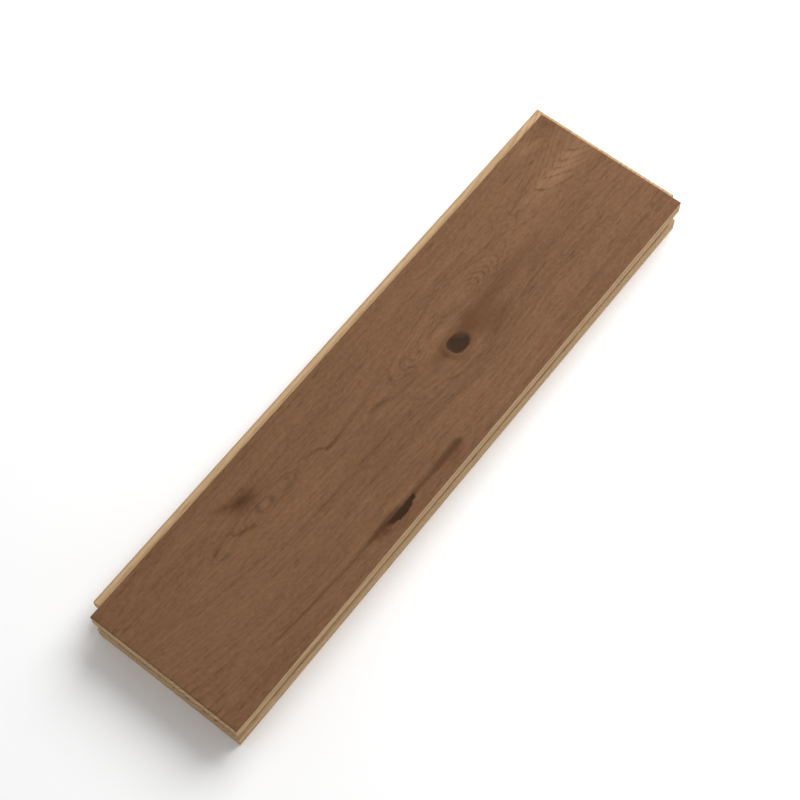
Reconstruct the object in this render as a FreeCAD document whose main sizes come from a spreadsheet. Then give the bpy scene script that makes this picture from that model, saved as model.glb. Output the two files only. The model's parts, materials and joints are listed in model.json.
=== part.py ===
import FreeCAD, Part
import Sketcher
import os

# Solid oak parquet block for a herringbone floor: one sawn piece with a tongue-and-groove joint all round.
# The long sides are moulded first and the ends are tenoned across them, so each joint runs out through
# the other at the corners. The -X end and the -Y side have the grooves, the +X end and the +Y side the
# tongues. Millimetres. +X runs along the grain and +Z up through the wear face. The origin is the middle
# of the underside.

# Driving dimensions: name, size in millimetres, and what it measures.
DIMENSIONS = (
    ("face_length", 280, "wear face along the grain, joint to joint"),
    ("face_width", 70, "wear face across the grain, joint to joint"),
    ("block_thickness", 20, "underside to wear face"),
    ("wear_depth", 7.4, "wear face down to the top of the groove"),
    ("tongue_thickness", 5.8, "tongue, top to bottom"),
    ("tongue_reach", 6, "tongue, how far it stands out of the joint"),
    ("tongue_nose", 1, "chamfer on the leading edges of the tongue"),
    ("groove_play", 0.2, "groove height beyond the tongue's thickness"),
    ("groove_relief", 0.5, "groove depth beyond the tongue's reach"),
    ("mouth_ease", 0.4, "chamfer on both lips of the groove"),
    ("back_gap", 0.5, "how far the sides stand back below the joint, so that the faces close first"),
    ("arris", 0.3, "chamfer round the wear face"),
)

# Levels and depths of the joint, as expressions on the sheet.
GROOVE_TOP = "(sizes.block_thickness - sizes.wear_depth)"
GROOVE_BOTTOM = f"({GROOVE_TOP} - sizes.tongue_thickness - sizes.groove_play)"
GROOVE_DEPTH = "(sizes.tongue_reach + sizes.groove_relief)"
TONGUE_TOP = f"({GROOVE_TOP} - sizes.groove_play / 2)"
TONGUE_BOTTOM = f"({TONGUE_TOP} - sizes.tongue_thickness)"

# How a constraint names the sketch's origin and a line's two ends.
SKETCH_ORIGIN = (-1, 1)
LINE_START = 1
LINE_END = 2


def make_sheet(doc):
    """The driving dimensions, one row each: name, size, meaning."""
    sheet = doc.addObject("Spreadsheet::Sheet", "sizes")
    for row, (name, size, meaning) in enumerate(DIMENSIONS, start=1):
        sheet.set(f"A{row}", name)
        sheet.set(f"B{row}", str(size))
        sheet.set(f"C{row}", meaning)
        sheet.setAlias(f"B{row}", name)
    doc.recompute()
    return sheet


def joint_outline(span):
    """Corners of the block's section over one face dimension: groove at the minus end, tongue at the plus."""
    groove_side = f"-sizes.{span} / 2"
    tongue_side = f"sizes.{span} / 2"
    tongue_end = f"{tongue_side} + sizes.tongue_reach"
    return (
        # underside, and the side that stands back below the tongue
        (f"{groove_side} + sizes.back_gap", "0"),
        (f"{tongue_side} - sizes.back_gap", "0"),
        (f"{tongue_side} - sizes.back_gap", TONGUE_BOTTOM),
        # tongue
        (f"{tongue_end} - sizes.tongue_nose", TONGUE_BOTTOM),
        (tongue_end, f"{TONGUE_BOTTOM} + sizes.tongue_nose"),
        (tongue_end, f"{TONGUE_TOP} - sizes.tongue_nose"),
        (f"{tongue_end} - sizes.tongue_nose", TONGUE_TOP),
        (tongue_side, TONGUE_TOP),
        # wear face, with its arris
        (tongue_side, "sizes.block_thickness - sizes.arris"),
        (f"{tongue_side} - sizes.arris", "sizes.block_thickness"),
        (f"{groove_side} + sizes.arris", "sizes.block_thickness"),
        (groove_side, "sizes.block_thickness - sizes.arris"),
        # groove, upper lip to lower lip
        (groove_side, f"{GROOVE_TOP} + sizes.mouth_ease"),
        (f"{groove_side} + sizes.mouth_ease", GROOVE_TOP),
        (f"{groove_side} + {GROOVE_DEPTH}", GROOVE_TOP),
        (f"{groove_side} + {GROOVE_DEPTH}", GROOVE_BOTTOM),
        (f"{groove_side} + sizes.back_gap + sizes.mouth_ease", GROOVE_BOTTOM),
        (f"{groove_side} + sizes.back_gap", f"{GROOVE_BOTTOM} - sizes.mouth_ease"),
    )


def draw_outline(body, plane, corners, name):
    """A closed sketch on one of the body's origin planes, each corner held by its two expressions."""
    sketch = body.newObject("Sketcher::SketchObject", name)
    support = [feature for feature in body.Origin.OriginFeatures if feature.Role == plane][0]
    sketch.AttachmentSupport = [(support, "")]
    sketch.MapMode = "FlatFace"
    points = [FreeCAD.Vector(*(sketch.evalExpression(text) for text in corner)) for corner in corners]
    count = len(points)
    for index, point in enumerate(points):
        sketch.addGeometry(Part.LineSegment(point, points[(index + 1) % count]))
    for index in range(count):
        following = (index + 1) % count
        sketch.addConstraint(Sketcher.Constraint("Coincident", index, LINE_END, following, LINE_START))
    for index, (point, corner) in enumerate(zip(points, corners)):
        for direction, distance, text in zip(("DistanceX", "DistanceY"), point, corner):
            held = Sketcher.Constraint(direction, *SKETCH_ORIGIN, index, LINE_START, distance)
            sketch.setExpression(f"Constraints[{sketch.addConstraint(held)}]", text)
    return sketch


def run_joint(doc, name, plane, span, run):
    """The joint's section over one face dimension, run past both ends of the other one."""
    body = doc.addObject("PartDesign::Body", name)
    sketch = draw_outline(body, plane, joint_outline(span), f"{name}_section")
    pad = body.newObject("PartDesign::Pad", f"{name}_run")
    pad.Profile = sketch
    pad.SideType = "Symmetric"
    pad.setExpression("Length", f"sizes.{run} + 2 * sizes.tongue_reach + 2 * sizes.groove_relief")
    return body


def make_block(doc):
    """What both cuts leave: the moulded strip, tenoned at its ends."""
    block = doc.addObject("Part::Common", "parquet_block")
    block.Base = run_joint(doc, "moulded_strip", "YZ_Plane", "face_width", "face_length")
    block.Tool = run_joint(doc, "tenoned_ends", "XZ_Plane", "face_length", "face_width")
    block.Refine = True
    block.Label = "parquet_block"
    return block


def check(doc, blocks):
    """Stops before anything is written if a feature failed or a block isn't one sound solid."""
    failed = [item.Name for item in doc.Objects if {"Invalid", "Error"} & set(item.State)]
    if failed:
        raise RuntimeError(f"failed features: {failed}")
    for block in blocks:
        shape = block.Shape
        if shape.isNull() or not shape.isValid() or len(shape.Solids) != 1:
            raise RuntimeError(f"{block.Label} isn't one valid solid")


doc = FreeCAD.newDocument("parquet_block")
make_sheet(doc)
blocks = [make_block(doc)]
doc.recompute()
check(doc, blocks)
os.makedirs("parts", exist_ok=True)
for block in blocks:
    block.Shape.exportStep(f"parts/{block.Label}.step")
    box = block.Shape.BoundBox
    print(block.Label, f"{box.XLength:.2f} x {box.YLength:.2f} x {box.ZLength:.2f} mm")
    print(block.Label, f"{block.Shape.Volume:.0f} mm3 in {len(block.Shape.Faces)} faces")
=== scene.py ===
import json
import math

import bmesh
import bpy
from mathutils import Matrix, Vector


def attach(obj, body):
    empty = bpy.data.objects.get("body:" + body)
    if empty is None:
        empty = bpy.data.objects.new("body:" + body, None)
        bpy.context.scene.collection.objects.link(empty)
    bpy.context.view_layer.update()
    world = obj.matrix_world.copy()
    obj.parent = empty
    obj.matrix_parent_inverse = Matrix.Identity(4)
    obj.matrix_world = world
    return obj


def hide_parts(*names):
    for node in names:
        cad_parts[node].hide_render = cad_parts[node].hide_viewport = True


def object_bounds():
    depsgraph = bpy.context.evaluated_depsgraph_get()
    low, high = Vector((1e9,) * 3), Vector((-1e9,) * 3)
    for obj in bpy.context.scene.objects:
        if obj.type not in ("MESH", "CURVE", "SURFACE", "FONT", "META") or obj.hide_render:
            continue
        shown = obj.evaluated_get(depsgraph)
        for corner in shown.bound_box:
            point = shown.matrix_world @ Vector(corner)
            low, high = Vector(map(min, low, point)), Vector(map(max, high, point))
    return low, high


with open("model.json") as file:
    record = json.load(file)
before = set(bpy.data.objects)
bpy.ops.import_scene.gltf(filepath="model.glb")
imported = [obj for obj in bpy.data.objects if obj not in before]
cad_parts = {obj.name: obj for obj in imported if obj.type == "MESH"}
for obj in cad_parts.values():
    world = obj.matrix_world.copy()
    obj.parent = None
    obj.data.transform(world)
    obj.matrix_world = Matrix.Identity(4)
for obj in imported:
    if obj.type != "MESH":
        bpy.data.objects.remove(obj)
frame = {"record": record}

cad_low, cad_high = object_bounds()

# Oak block: its shape.
# One piece of solid oak, sawn and planed, moulded along both long sides and tenoned across both ends, so
# that a groove or a tongue runs round it. Cut at any height it is a rectangle, so the mesh is the wear face
# and a stack of rectangles below it. The knot and the split were filled, and the filler has sunk a little.
MM = 0.001
mounts = {mount["name"]: Vector(mount["pos_m"]) for mount in frame["record"]["mounts"]}
half_length = mounts["end_tongue"].x
half_width = mounts["long_tongue"].y
thickness = mounts["wear_face"].z
joint_middle = mounts["long_tongue"].z
tongue_reach = cad_high.x - half_length
tongue_thickness = 5.8 * MM
tongue_nose = 1.0 * MM
groove_play = 0.2 * MM
groove_relief = 0.5 * MM
mouth_ease = 0.4 * MM
back_gap = 0.5 * MM
arris_radius = 0.35 * MM
arris_steps = 4
foot_ease = 0.2 * MM
cells_along = 350
cells_across = 174
sharp_angle = math.radians(35)

# Places on the wear face, in millimetres from its middle: +X to the end with the tongue, +Y to the side with
# it. A floor is the share of a hollow's size that lies at its full depth.
knot_middle = (33, -2.5)
knot_half_size = (5.8, 4.1)
knot_sunk = 0.15
pocket_middle = (-36.5, -27.9)
pocket_half_size = (8.8, 3.4)
pocket_sunk = 0.3
filler_floor = 0.7
split_line = ((-112, -23.7), (-95, -25.5), (-75, -26.7), (-55, -27.4), (-45, -27.1), (-36, -27.7),
              (-28, -28.2), (1.5, -28.3))
split_half_width = ((-112, 0.2), (-80, 0.3), (-57, 0.35), (-52, 0.8), (-47, 1.2), (-30, 1.0), (-24, 0.95),
                    (-12, 1.2), (-3, 1.4), (0.5, 0.9), (1.5, 0.1))
split_sunk = 0.2
split_edge = 0.3
split_floor = 0.3


def along_points(points, x):
    """The height at x of the straight runs between points, and None beyond their ends."""
    for (x0, y0), (x1, y1) in zip(points, points[1:]):
        if x0 <= x <= x1:
            return y0 + (y1 - y0) * (x - x0) / (x1 - x0)
    return None


def eased(value, start, end):
    """0 at start and before, 1 at end and beyond, with a soft ramp between them."""
    share = min(1, max(0, (value - start) / (end - start)))
    return share * share * (3 - 2 * share)


def oval(x, y, middle, half_size):
    """How far a point is from the middle of an oval, as a share of the oval's own radius there."""
    return math.hypot((x - middle[0]) / half_size[0], (y - middle[1]) / half_size[1])


def hollow(x, y):
    """How deep the filler and the split lie below the wear face, in millimetres."""
    depth = knot_sunk * eased(oval(x, y, knot_middle, knot_half_size), 1, filler_floor)
    if y < pocket_middle[1]:
        sunk_share = eased(oval(x, y, pocket_middle, pocket_half_size), 1, filler_floor)
        depth = max(depth, pocket_sunk * sunk_share)
    half = along_points(split_half_width, x)
    if half:
        away = abs(y - along_points(split_line, x))
        depth = max(depth, split_sunk * eased(away, half + split_edge, half * split_floor))
    return depth


def section_levels():
    """Height, inset of the groove sides and reach of the tongue sides, from the face to the underside."""
    groove_height = tongue_thickness + groove_play
    groove_top = joint_middle + groove_height / 2
    groove_bottom = joint_middle - groove_height / 2
    tongue_top = joint_middle + tongue_thickness / 2
    tongue_bottom = joint_middle - tongue_thickness / 2
    groove_depth = tongue_reach + groove_relief
    for step in range(1, arris_steps + 1):
        turn = math.pi / 2 * step / arris_steps
        inset = arris_radius * (1 - math.sin(turn))
        yield thickness - arris_radius * (1 - math.cos(turn)), inset, -inset
    yield groove_top + mouth_ease, 0, 0
    yield groove_top, mouth_ease, 0
    yield groove_top, groove_depth, 0
    yield tongue_top, groove_depth, 0
    yield tongue_top, groove_depth, tongue_reach - tongue_nose
    yield tongue_top - tongue_nose, groove_depth, tongue_reach
    yield tongue_bottom + tongue_nose, groove_depth, tongue_reach
    yield tongue_bottom, groove_depth, tongue_reach - tongue_nose
    yield tongue_bottom, groove_depth, -back_gap
    yield groove_bottom, groove_depth, -back_gap
    yield groove_bottom, back_gap + mouth_ease, -back_gap
    yield groove_bottom - mouth_ease, back_gap, -back_gap
    yield foot_ease, back_gap, -back_gap
    yield 0, back_gap + foot_ease, -back_gap - foot_ease


def shape_block(mesh):
    """The wear face as a fine grid, with its rim drawn down round the joint to the underside."""
    face_half = Vector((half_length - arris_radius, half_width - arris_radius, 1))
    bmesh.ops.create_grid(mesh, x_segments=cells_along, y_segments=cells_across, size=1)
    bmesh.ops.scale(mesh, vec=face_half, verts=mesh.verts)
    bmesh.ops.translate(mesh, vec=(0, 0, thickness), verts=mesh.verts)
    for vert in mesh.verts:
        vert.co.z -= hollow(vert.co.x / MM, vert.co.y / MM) * MM
    rim = [edge for edge in mesh.edges if edge.is_boundary]
    low, high = -face_half, face_half
    for height, inset, reach in section_levels():
        drawn = bmesh.ops.extrude_edge_only(mesh, edges=rim)["geom"]
        rim = [part for part in drawn if isinstance(part, bmesh.types.BMEdge) and part.is_boundary]
        ring = list({vert for edge in rim for vert in edge.verts})
        new_low = Vector((inset - half_length, inset - half_width, height))
        new_high = Vector((half_length + reach, half_width + reach, height))
        size, new_size = high - low, new_high - new_low
        stretch = Matrix.Diagonal((new_size.x / size.x, new_size.y / size.y, 0, 1))
        to_level = Matrix.Translation(new_low) @ stretch @ Matrix.Translation(-low)
        bmesh.ops.transform(mesh, matrix=to_level, verts=ring)
        low, high = new_low, new_high
    bmesh.ops.contextual_create(mesh, geom=rim)
    bmesh.ops.recalc_face_normals(mesh, faces=mesh.faces)


block_shape = bmesh.new()
shape_block(block_shape)
for face in block_shape.faces:
    face.smooth = True
for edge in block_shape.edges:
    edge.smooth = edge.calc_face_angle(0) < sharp_angle
block_data = bpy.data.meshes.new("oak_block")
block_shape.to_mesh(block_data)
block_shape.free()
oak_block = bpy.data.objects.new("oak_block", block_data)
bpy.context.scene.collection.objects.link(oak_block)
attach(oak_block, "root")
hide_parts("parquet_block")


# Oak block: its wood and finish.
# Flat-sawn oak: growth rings round a pith that lay just above the block, pushed aside by a branch that grew
# through it, with open pores along the grain. The wear face has a brown stain under a matt lacquer. The joint
# and the underside are raw.
class Wire:
    """A socket of a material. Arithmetic on it adds Math nodes, and node() adds any other node."""

    def __init__(self, tree, socket=None):
        self.tree = tree
        self.socket = socket

    def node(self, kind, settings, inputs, output=0):
        """A new node with its settings, then the values or links of its sockets; gives one of its outputs."""
        made = self.tree.nodes.new(kind)
        for name, value in settings.items():
            if name == "points":
                path = made.mapping.curves[0]
                made.mapping.use_clip = False
                made.mapping.extend = "HORIZONTAL"
                while len(path.points) < len(value):
                    path.points.new(0, 0)
                for point, location in zip(path.points, value):
                    point.location = location
                    point.handle_type = "AUTO_CLAMPED"
                made.mapping.update()
            else:
                setattr(made, name, value)
        for name, value in inputs.items():
            if isinstance(value, Wire):
                self.tree.links.new(value.socket, made.inputs[name])
            else:
                made.inputs[name].default_value = value
        return Wire(self.tree, made.outputs[output] if made.outputs else None)

    def math(self, operation, *others):
        return self.node("ShaderNodeMath", {"operation": operation}, dict(enumerate((self, *others))))

    def __add__(self, other):
        return self.math("ADD", other)

    def __sub__(self, other):
        return self.math("SUBTRACT", other)

    def __rsub__(self, other):
        return self.math("MULTIPLY_ADD", -1, other)

    def __mul__(self, other):
        return self.math("MULTIPLY", other)

    def __truediv__(self, other):
        return self.math("DIVIDE", other)

    def __neg__(self):
        return self.math("MULTIPLY", -1)

    def __abs__(self):
        return self.math("ABSOLUTE")

    __radd__ = __add__
    __rmul__ = __mul__

    def length(self, other):
        """The long side of a right triangle with this value and the other as its short sides."""
        return (self * self + other * other).math("SQRT")

    def bell(self):
        """1 where the value is 0, falling away on both sides."""
        return (-(self * self)).math("EXPONENT")

    def ease(self, start, end):
        """0 at start and before, 1 at end and beyond, with a soft ramp between them."""
        return self.node("ShaderNodeMapRange", {"interpolation_type": "SMOOTHSTEP"},
                         {"Value": self, "From Min": start, "From Max": end})

    def blend(self, none, full):
        """The number none where this value is 0, full where it is 1, and their mix between."""
        return self * (full - none) + none

    def tint(self, under, over):
        """The colour under, covered by the colour over as far as this value says."""
        return self.node("ShaderNodeMix", {"data_type": "RGBA"}, {0: self, 6: under, 7: over}, output=2)


def stain(red, green, blue):
    """A colour given as it shows on a screen, 0 to 255, turned into light by the screen's own curve."""
    return tuple(((part / 255 + 0.055) / 1.055) ** 2.4 for part in (red, green, blue)) + (1,)


def curve(points, at):
    """A smooth curve through points along the block, read at a place along it."""
    low, high = points[0][0], points[-1][0]
    shares = [((distance - low) / (high - low), height) for distance, height in points]
    return at.node("ShaderNodeFloatCurve", {"points": shares}, {"Value": (at - low) / (high - low)})


oak = bpy.data.materials.new("oak")
oak.use_nodes = True
oak.node_tree.nodes.clear()
wood = Wire(oak.node_tree)
metres = wood.node("ShaderNodeTexCoord", {}, {}, output="Object")
place = wood.node("ShaderNodeVectorMath", {"operation": "SCALE"}, {0: metres, "Scale": 1 / MM})
x, y, z = (wood.node("ShaderNodeSeparateXYZ", {}, {0: place}, output=axis) for axis in "XYZ")
below_face = thickness / MM - z

# Run of the fibres: round the big knot, and a little down towards it from the groove end.
bend_half_size = (27, 16)
bend_reach = 7
bend_core = 4
lean_at = ((-140, 11), (-110, 6.5), (-80, 2.2), (-50, 0.6), (-30, 0))
lean_above = (17, 8)
lean_below = (-28, -8)
least_lean = 0.35
above_knot = y - knot_middle[1]
pushed = ((x - knot_middle[0]) / bend_half_size[0]).bell() * (above_knot / bend_half_size[1]).bell()
bend = bend_reach * pushed * above_knot / above_knot.length(bend_core)
lean = curve(lean_at, x) * y.ease(*lean_above) * y.ease(*lean_below).blend(least_lean, 1)
flow = y - bend - lean
grain_place = wood.node("ShaderNodeCombineXYZ", {}, {"X": x, "Y": flow, "Z": z})


def grain_noise(along, across, detail=2, shift=0):
    """Cloudy noise about 0, drawn out along the fibres into blots of about these millimetres."""
    scaled = wood.node("ShaderNodeVectorMath", {"operation": "MULTIPLY_ADD"},
                       {0: grain_place, 1: (1 / along, 1 / across, 1 / across), 2: (shift, shift, shift)})
    return wood.node("ShaderNodeTexNoise", {}, {"Vector": scaled, "Scale": 1, "Detail": detail}) - 0.5


def from_oval(middle, half_size, slope=0, power=2):
    """How far the surface is from an oval's middle, as a share of the oval's radius there.

    The slope leans the oval, and a power below 2 makes its ends pointed.
    """
    over = x - middle[0]
    off = y - middle[1] - slope * over
    share_along = abs(over / half_size[0]).math("POWER", power)
    share_across = abs(off / half_size[1]).math("POWER", power)
    return (share_along + share_across).math("POWER", 1 / power)


def spots(*rows):
    """Soft oval spots, added up. A row has a strength, a middle, a half size, and a slope if it leans."""
    return sum(strength * from_oval(*shape).bell() for strength, *shape in rows)


# Growth rings, counted outwards from a pith above the face. On a hill the rings bulge, so that their lines
# close round its middle. Two values are for its halves towards the groove end and the tongue end: axis, its
# height across the block, and stretch, how many times longer than high it is above and below that. Then come
# point, how pointed its rings' ends are above and below; shows_to, how far from the middle its lines stand
# out; strength, by how much; and by how many rings it lifts either half at each distance from the middle.
ring_width = 2.2
rings_to_pith = 5.5
axis_across = 11
eyelet_middle = (-66.5, 13.2)
end_rings = ((40, 6.7), (47, 5.88), (54, 4.88), (59, 3.88), (64.5, 2.88), (71, 1.88), (79, 1.3),
             (89.5, 0.88), (110, 0))
hills = (
    {"middle": eyelet_middle[0], "axis": (13.3, 13.3), "stretch": ((5.6, 6.0), (5.6, 6.0)),
     "point": (0.2, 0.2), "shows_to": 33, "strength": 0.75,
     "groove_side": ((0, 2.3), (5, 2.1), (12, 1.6), (20, 1.1), (28, 0.6), (38, 0)),
     "tongue_side": ((0, 2.3), (5, 2.1), (12.5, 1.6), (17.5, 0.6), (24, 0))},
    {"middle": 37, "axis": (6.6, 8.6), "stretch": ((3.8, 3.2), (3.4, 3.0)),
     "point": (0.5, 0.5), "shows_to": 37, "strength": 0.9,
     "groove_side": ((0, 6.3), (10, 6.2), (15, 5.67), (19.5, 4.67), (24, 3.67), (29, 2.67), (35, 1.67),
                     (48, 0.67), (60, 0)),
     "tongue_side": ((0, 6.3), (20, 6.2), (23, 5.67), (27, 4.67), (30, 3.67), (33, 2.67), (36, 1.67),
                     (44, 0.67), (54, 0))},
    {"middle": 180.5, "axis": (15.6, 15.6), "stretch": ((0.6, 0.6), (0.6, 0.6)),
     "point": (0.9, 1.9), "shows_to": 84, "strength": 0.65,
     "groove_side": end_rings, "tongue_side": end_rings},
)
side_blend = 8
hill_sway = 0.5
slope_step = 1
shows_before = 6
shows_beyond = 10


def lifted(hill, side, away):
    """By how many rings a hill lifts the face at a distance from its middle."""
    return side.blend(curve(hill["groove_side"], away), curve(hill["tongue_side"], away))


teeth = 2.4 * grain_noise(4, 0.6, shift=11) + 1.8 * grain_noise(2.5, 0.35, shift=13)
sway = 2.0 * grain_noise(70, 14, shift=3) + 0.8 * grain_noise(14, 3, shift=7)
along = x + teeth
from_axis = flow + sway - axis_across
radius = from_axis.length(below_face + rings_to_pith * ring_width)
rings = radius / ring_width
rise_along = 0
rise_across = from_axis / radius / ring_width
shown = 0
for hill in hills:
    over = along - hill["middle"]
    side = over.ease(-side_blend, side_blend)
    off = y + hill_sway * sway - side.blend(*hill["axis"])
    above, below = (side.blend(groove_end, tongue_end) for groove_end, tongue_end in zip(*hill["stretch"]))
    upper = off.math("GREATER_THAN", 0)
    stretch = upper.blend(below, above)
    point_above, point_below = hill["point"]
    point = upper.blend(point_below, point_above)
    reach = over.length(off * stretch)
    away = reach + point * abs(off)
    lift = lifted(hill, side, away)
    drop = lift - lifted(hill, side, away + slope_step)
    rings = rings - lift
    rise_along = drop * over / reach + rise_along
    rise_across = drop * (off * stretch * stretch / reach + point * off.math("SIGN")) + rise_across
    near = away.ease(hill["shows_to"] + shows_beyond, hill["shows_to"] - shows_before)
    shown = (hill["strength"] * near).math("MAXIMUM", shown)

# Line of each ring, where its open early wood takes more stain. It starts sharply and fades out over some
# line widths, further and darker at the tips of the loops, and rings that crowd together show no lines. Each
# pair of values is for the sides and the tips of a loop, or for where a line has gone and where it is whole.
line_width = 0.8
line_core = 0.3
line_fade = (1.8, 2.6)
line_dark = (0.75, 1.2)
line_start = (0, 0.04)
line_end = (0.6, 0.2)
crowded = (1.1, 0.5)
least_steep = 0.03
steep = rise_along.length(rise_across)
at_tip = rise_along / steep
at_tip = at_tip * at_tip
part_of_ring = rings.math("FRACT")
from_line = part_of_ring / (steep + least_steep)
early = from_line.ease(line_width * at_tip.blend(*line_fade), line_core * line_width)
early = early * part_of_ring.ease(*line_start) * part_of_ring.ease(*line_end) * steep.ease(*crowded)
early = early * at_tip.blend(*line_dark)
ring_number = rings.math("FLOOR")
ring_tone = wood.node("ShaderNodeTexWhiteNoise", {"noise_dimensions": "1D"}, {"W": ring_number}) - 0.5

# Rings that stand out: how dark each is at its start and its end, half its width, and the places it runs
# through. First come those by the small knot and the eyelet, then those by the big knot, those at the tongue
# end, and long faint ones.
strong_rings = (
    (0.5, 0.4, 0.8, ((-139, 24.5), (-134, 20.5), (-129, 18))),
    (1.2, 0.3, 0.9, ((-95.4, 13.2), (-94.4, 14.2), (-92.5, 15), (-89, 15.8), (-83, 16.4))),
    (0.9, 0.3, 0.8, ((-95.4, 13), (-94.2, 12), (-92, 10.9), (-88, 10.2))),
    (1.1, 1.1, 1.0, ((-84.5, 15), (-83, 14), (-81.5, 13), (-78, 12.2), (-76.5, 11.2), (-74, 10.2))),
    (0.7, 0.4, 0.9, ((-79, 12.4), (-76.5, 14.2), (-73.5, 15.5), (-70.5, 16.4))),
    (0.2, 0.7, 0.9, ((-63, 9.3), (-57, 9.8), (-52, 10.8), (-48.5, 12.6))),
    (0.3, 0.6, 0.8, ((-62, 16), (-56, 15.4), (-52, 14.2), (-49, 12.2))),
    (0.4, 1.4, 0.8, ((-48.5, 14.8), (-44, 14.1), (-40, 12.6), (-37, 11.9), (-34.8, 10.4), (-33, 9),
                     (-31.8, 8.4))),
    (1.3, 0.4, 0.8, ((-36, 8.9), (-31, 9), (-21, 9.6), (-10, 10.6))),
    (0.4, 0.3, 0.8, ((-18, 10), (-6, 10.8), (0, 11.8), (12, 13.4))),
    (0.4, 0.3, 0.7, ((-48, 3.7), (-34, 3.3), (-22, 1.2))),
    (1.5, 0.5, 0.9, ((-13.5, 6.6), (-11.5, 5.6), (-9, 5.3), (-6.5, 4.9), (-2, 2.8), (2, 2.2), (8, 1.2),
                     (14, 0.6))),
    (0.8, 0.8, 0.9, ((1.6, 7), (2.6, 6.2), (3.8, 5))),
    (0.8, 0.5, 0.7, ((3.6, 9.2), (5.5, 8), (7.5, 6.8), (9, 5), (11, 3.5), (14, 1.4))),
    (0.8, 0.8, 0.8, ((11.6, 7.4), (12.6, 6), (13.6, 4.8), (15.4, 4))),
    (0.6, 0.6, 0.7, ((11.6, 7.6), (13, 9), (16, 9.9))),
    (0.5, 0.5, 0.7, ((23, 3), (25, 5.4), (27.5, 7.2), (31, 8.2), (36, 8.6), (40.5, 8.2), (43.5, 7),
                     (45.5, 5.6))),
    (0.6, 0.3, 0.9, ((8, -8.3), (15, -8.6), (20, -10.2), (26, -12.4), (36, -13.2), (44, -11.8))),
    (0.3, 0.7, 0.9, ((44, -11.8), (50, -10.3), (54.5, -8.6), (57, -6.5), (58.4, -3.6))),
    (0.5, 0.5, 0.6, ((74, 13), (78, 12.4), (83, 10.9))),
    (0.5, 0.5, 0.6, ((74, 7), (78, 8.6), (83, 11))),
    (0.7, 0.5, 0.7, ((90, 10.8), (92, 12.8), (97, 15.4))),
    (0.5, 0.3, 0.7, ((91, 11.2), (96, 8.6), (110, 8.6), (124, 7.6))),
    (0.5, 0.4, 0.7, ((62, -11), (70, -9.2), (76, -8.8), (82, -8), (89, -6.2))),
    (0.5, 0.3, 0.7, ((75, -7), (82, -5.2), (88, -4.4), (98, -4.3))),
    (0.5, 0.4, 0.6, ((72, -14.6), (80, -14.2), (88, -14.2))),
    (0.4, 0.4, 0.6, ((91, -14), (104, -13.5), (119, -13.2))),
    (0.5, 0.5, 0.6, ((115, -10.2), (124, -9.4), (135, -9.2))),
    (0.4, 0.4, 1.2, ((-128, 9.5), (-110, 5), (-90, 0), (-78, -1.5), (-52, -5), (-28, -5.2), (-5, -6.8),
                     (8, -8))),
    (0.2, 0.4, 0.9, ((-40, 20.4), (-20, 20.1), (20, 20.7), (60, 20.7), (82, 23))),
    (0.3, 0.3, 0.7, ((-30, -33), (10, -33.3), (60, -34))),
)
longest_fade = 2
fade_share = 0.12
strong_teeth = 0.7
wobble = 0.9 * grain_noise(9, 5, shift=97)
strong = 0
for start_dark, end_dark, half_thick, points in strong_rings:
    start, end = points[0][0], points[-1][0]
    fade = min(longest_fade, fade_share * (end - start))
    ends = (x - start).ease(0, fade) * (end - x).ease(0, fade)
    darkness = ((x - start) / (end - start)).blend(start_dark, end_dark)
    run = ((y - curve(points, x + strong_teeth * teeth) + wobble) / half_thick).bell()
    strong = darkness * ends * run + strong

# Fine rings that fan out above the hill at the tongue end.
fan_path = ((86, 15.6), (96, 16.2), (106, 16.8), (114, 19.4), (124, 23.5))
fan_spacing = 1.5
fan_line = 0.22
fan_lowest = (-0.5, 0.3)
fan_highest = (5, 3.5)
fan_start = (84, 94)
fan_end = (124, 114)
fan_place = (y + hill_sway * sway - curve(fan_path, along)) / fan_spacing
fan = ((fan_place.math("FRACT") - 0.5) / fan_line).bell()
fan = fan * fan_place.ease(*fan_lowest) * fan_place.ease(*fan_highest)
fan = fan * x.ease(*fan_start) * x.ease(*fan_end)

# All the lines together. They are broken along their length, less so at the tips of loops, and calm places
# have few of them.
plain_line = 0.45
breaks = (-0.12, 0.08)
broken = grain_noise(9, 1.5, shift=61).ease(*breaks).blend(0.5, 1)
whole = (broken + 0.5 * at_tip * shown).math("MINIMUM", 1)
calm = 1 - spots((0.85, (36, 4.5), (14, 3.6)), (0.7, (126, 6), (16, 3)))
ring_lines = whole * early * shown.blend(plain_line, 1) * calm
line = ring_lines + 0.55 * broken * fan + broken.blend(0.5, 1.2) * strong

# Pores, thickest along the lines, then specks, flecks, fibres, threads, streaks and clouds.
pore_limit = 0.14
line_limit = 0.04
pore_edge = 0.09
pore_blots = grain_noise(8, 0.4, detail=1, shift=31)
pore_from = line.math("MINIMUM", 1).blend(pore_limit, line_limit)
pores = pore_blots.ease(pore_from, pore_from + pore_edge)
specks = grain_noise(1.8, 1.1, detail=1, shift=37)
flecks = grain_noise(4, 1.6, detail=3, shift=47)
fibres = grain_noise(9, 0.5, detail=2, shift=41)
threads = grain_noise(40, 0.8, detail=2, shift=43)
streaks = grain_noise(130, 5, detail=2, shift=53)
clouds = grain_noise(45, 18, detail=2, shift=59)

# The stained face: tone 0 is its darkest line and 1 its palest streak.
face_dark = stain(92, 63, 41)
face_pale = stain(137, 101, 73)
plain_tone = 0.482
tone = plain_tone + 0.06 * ring_tone + 0.45 * specks + 0.38 * flecks + 0.24 * fibres + 0.3 * threads
tone = tone + 0.36 * streaks + 0.32 * clouds - 0.26 * line - 0.19 * pores
face = tone.tint(face_dark, face_pale)

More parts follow.
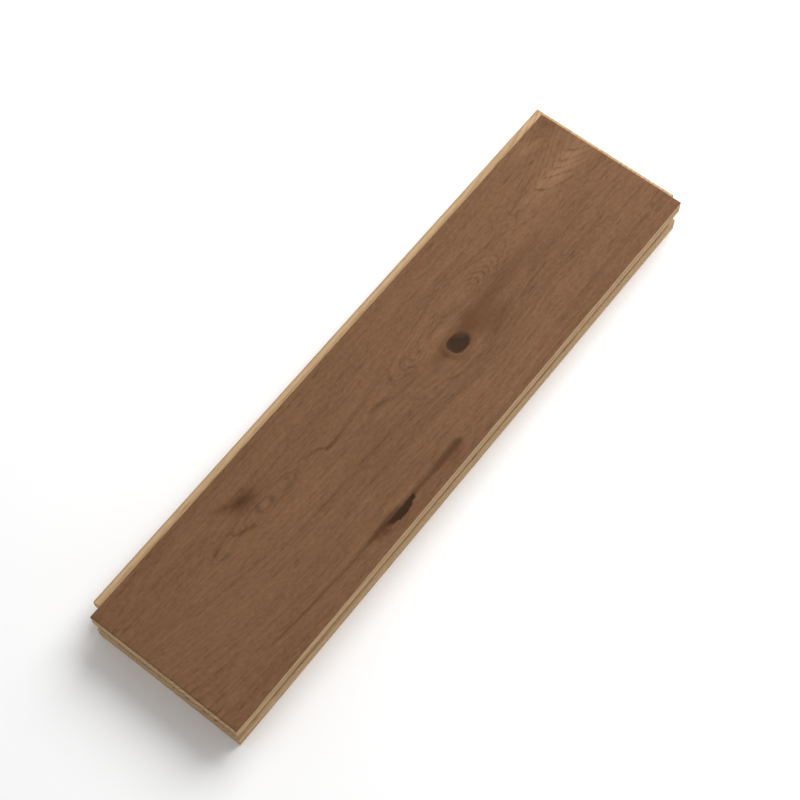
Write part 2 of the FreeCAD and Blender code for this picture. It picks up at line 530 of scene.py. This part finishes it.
# Pale wood: above and below the big knot, between the rings at the tongue end, and in two patches, one above
# those rings and one by the small knot.
cream = stain(152, 115, 86)
halo = spots((0.17, (32, 5.2), (10, 2.6)), (0.1, (36, -9.5), (4, 1.5)))
wedges = spots((0.45, (122, 13.8), (21, 5)), (0.16, (130.5, 14), (3.5, 3)))
pale_patches = spots((0.3, (122, 29), (8, 2.6), -0.15), (0.12, (-82, 21.2), (6, 2.6)))
pale = halo + wedges * (1 - line) + pale_patches
face = (pale * (1 + 2 * flecks)).tint(face, cream)

# Brown wood: the heart of the branch runs out beside the big knot, a brown rim goes round the knot's filler,
# which is flatter above and on its left than an oval, and one corner has heartwood.
heart_brown = stain(90, 58, 36)
knot_top = 3.6
knot_left = 5.3
knot_corners = 0.3
rim_at = 1.3
rim_width = 0.28
rim_turn = (4, -6)
rim_dark = (0.25, 0.4)
smear = spots((0.55, (62, 1), (32, 3)),
              (0.48, (43.6, -1.2), (3.2, 5.5)),
              (0.5, (50, -6), (8, 6.2)),
              (0.15, (40, -2), (3, 2.2)))
left_shade = spots((0.35, (22, -2), (7, 2.8)),
                   (0.28, (25.1, -2.3), (1.9, 2.8)),
                   (0.25, (28.5, -9), (1.8, 1.6)))
corner = spots((0.3, (135, 29.8), (6, 3.6)),
               (0.35, (137, 31.4), (1.8, 2)),
               (0.3, (131.4, 28), (2.6, 1.1), -0.8),
               (0.25, (122.5, 26), (6.5, 1.2), -0.4))
beside_knot = x - knot_middle[0]
knot = from_oval(knot_middle, knot_half_size)
knot = knot.math("SMOOTH_MAX", above_knot / knot_top, knot_corners)
knot = knot.math("SMOOTH_MAX", beside_knot / -knot_left, knot_corners)
rim = ((knot - rim_at) / rim_width).bell() * beside_knot.ease(*rim_turn).blend(*rim_dark)
brown = (smear + left_shade) * (1 + 0.8 * flecks) + rim + corner
face = brown.tint(face, heart_brown)

# Filled knot, paler and softer at its right, and the small knot.
filler_dark = stain(54, 35, 19)
filler_brown = stain(66, 38, 17)
soft_from = (0, 5)
filler_soft = (0.1, 0.3)
paler_from = (1, 7)
ragged = grain_noise(3, 2.2, detail=3, shift=71)
knot_soft = beside_knot.ease(*soft_from).blend(*filler_soft)
filled_knot = (knot + 0.5 * ragged).ease(1 + knot_soft, 1 - knot_soft)
knot_pale = 0.5 * (beside_knot + above_knot).ease(*paler_from) + 0.6 * flecks
face = filled_knot.tint(face, knot_pale.tint(filler_dark, heart_brown))
small_knot = 0.5 * (from_oval((-70.7, 20.6), (5.4, 2.9), -0.1) + 0.8 * ragged).bell()
small_shade = spots((0.24, (-69.5, 20.2), (9, 4.4)), (0.32, (-77.5, 24.2), (5.5, 1.8), -0.45))
face = (small_knot + small_shade).tint(face, filler_brown)

# Eyelet: a ragged dark ring, darkest at its two ends, round a pale middle.
eyelet_half_size = (2.2, 1.15)
eyelet_slope = -0.06
eyelet_ring = 1.6
eyelet_ring_width = 0.78
eyelet_turn = (1.5, 3.2)
eyelet_dark = (0.42, 0.75)
eyelet_pale = (0.9, 0.4)
eyelet = from_oval(eyelet_middle, eyelet_half_size, eyelet_slope) + 0.7 * ragged
eyelet_side = abs(x - eyelet_middle[0]).ease(*eyelet_turn).blend(*eyelet_dark)
dark_ring = (eyelet_side + 0.8 * ragged) * ((eyelet - eyelet_ring) / eyelet_ring_width).bell()
face = (0.48 * dark_ring).tint(face, filler_dark)
face = (0.12 * eyelet.ease(*eyelet_pale)).tint(face, cream)

# Split and pocket, filled brown and nearly black, with reddish wood below them.
fringe_red = stain(94, 58, 41)
split_strength = ((-112, 0.3), (-100, 0.4), (-60, 0.4), (-50, 0.7), (-30, 0.6), (-22, 0.56), (-12, 0.66),
                  (-3, 0.7), (1.5, 0.4))
split_start_fade = (0, 8)
split_end_fade = (0.5, -2)
pocket_power = 1.5
pocket_rim = (1.1, 0.85)
pocket_top = (0.4, -0.2)
fringe = spots((1.1, (-46.8, -29.3), (5, 1.6)),
               (0.35, (-8, -30.7), (6, 1.4)),
               (0.35, (-36, -31.4), (12, 1.3)))
face = (fringe * (1 + 3 * ragged)).tint(face, fringe_red)
split_away = y - curve(split_line, x) + 0.8 * ragged
split = (split_away / (curve(split_half_width, x) + split_edge)).bell() * curve(split_strength, x)
split = split * (x - split_line[0][0]).ease(*split_start_fade)
split = split * (x - split_line[-1][0] + 4 * ragged).ease(*split_end_fade)
face = split.tint(face, filler_brown)
pocket = from_oval(pocket_middle, pocket_half_size, power=pocket_power) + 0.7 * ragged
below_split = (y - pocket_middle[1] + 0.8 * ragged).ease(*pocket_top)
face = (pocket.ease(*pocket_rim) * below_split).tint(face, filler_dark)

# Raw oak, and where the stain stops: it covers the wear face, and runs over the arris by an uneven depth.
raw_dark = stain(146, 112, 78)
raw_pale = stain(206, 176, 138)
raw_plain = 0.62
overrun_depth = 0.6
overrun_spread = 1.4
stain_edge = 0.12
arris_inside = (0.05, 0.2)
face_depth = (2.2, 2.0)
raw_tone = raw_plain + 0.2 * ring_tone + 0.4 * fibres + 0.3 * flecks + 0.3 * threads
raw_tone = raw_tone - 0.35 * early - 0.3 * pores
raw = raw_tone.tint(raw_dark, raw_pale)
overrun = overrun_depth + overrun_spread * grain_noise(9, 9, detail=3, shift=83)
from_side = (half_length / MM - abs(x)).math("MINIMUM", half_width / MM - abs(y))
on_face = from_side.ease(*arris_inside) * below_face.ease(*face_depth)
stained = below_face.ease(overrun + stain_edge, overrun - stain_edge).math("MAXIMUM", on_face)
colour = stained.tint(raw, face)

# Relief of the open grain, and the matt lacquer, which is a little glossier on the knot's filler.
pore_sunk = (0.1, 0.2)
lacquer_matt = 0.62
relief = 0.06 * fibres + 0.05 * flecks - 0.06 * pore_blots.ease(*pore_sunk)
matt = lacquer_matt + 0.1 * pores + 0.15 * (1 - stained) - 0.1 * stained * filled_knot
bump = wood.node("ShaderNodeBump", {}, {"Strength": 0.8, "Distance": MM, "Height": relief})
shader = wood.node("ShaderNodeBsdfPrincipled", {}, {"Base Color": colour, "Roughness": matt, "Normal": bump,
                                                    "Specular IOR Level": 0.08})
wood.node("ShaderNodeOutputMaterial", {}, {"Surface": shader})
oak_block.data.materials.append(oak)

# Floor.
# A plain pale sheet of studio paper under the block, wide enough to fill every view.
floor_half_size = 4.0
paper_white = (0.95, 0.95, 0.95, 1)
paper_matt = 0.9
floor_shape = bmesh.new()
bmesh.ops.create_grid(floor_shape, x_segments=1, y_segments=1, size=floor_half_size)
floor_data = bpy.data.meshes.new("floor")
floor_shape.to_mesh(floor_data)
floor_shape.free()
floor = bpy.data.objects.new("floor", floor_data)
bpy.context.scene.collection.objects.link(floor)
paper = bpy.data.materials.new("paper")
paper.use_nodes = True
paper_shader = paper.node_tree.nodes["Principled BSDF"]
paper_shader.inputs["Base Color"].default_value = paper_white
paper_shader.inputs["Roughness"].default_value = paper_matt
floor.data.materials.append(paper)

# Camera and light.
# The block is seen from above with its grain running from the lower left to the upper right. One large soft
# lamp stands high at the upper right, and a pale room fills in the rest.
view_turn = math.radians(-52)
view_height = math.radians(64)
view_distance = 0.74
lens_length = 85
to_right = Vector((math.cos(view_turn), math.sin(view_turn), 0))
to_back = Vector((-math.sin(view_turn), math.cos(view_turn), 0))
up = Vector((0, 0, 1))
block_middle = (cad_low + cad_high) / 2

camera_data = bpy.data.cameras.new("camera")
camera_data.lens = lens_length
camera = bpy.data.objects.new("camera", camera_data)
look_from = up * math.sin(view_height) - to_back * math.cos(view_height)
camera.location = block_middle + look_from * view_distance
camera.rotation_euler = (-look_from).to_track_quat("-Z", "Y").to_euler()
bpy.context.scene.collection.objects.link(camera)
bpy.context.scene.camera = camera

lamp_size = 0.9
lamp_watts = 11
lamp_place = to_right * 0.45 + to_back * 0.5 + up * 0.75
lamp_data = bpy.data.lights.new("softbox", "AREA")
lamp_data.shape = "DISK"
lamp_data.size = lamp_size
lamp_data.energy = lamp_watts
lamp = bpy.data.objects.new("softbox", lamp_data)
lamp.location = lamp_place
lamp.rotation_euler = (-lamp_place).to_track_quat("-Z", "Y").to_euler()
bpy.context.scene.collection.objects.link(lamp)

room_white = (1, 1, 1, 1)
room_strength = 0.5
room = bpy.data.worlds.new("room")
room.use_nodes = True
room.node_tree.nodes["Background"].inputs["Color"].default_value = room_white
room.node_tree.nodes["Background"].inputs["Strength"].default_value = room_strength
bpy.context.scene.world = room
bpy.context.scene.view_settings.view_transform = "Standard"
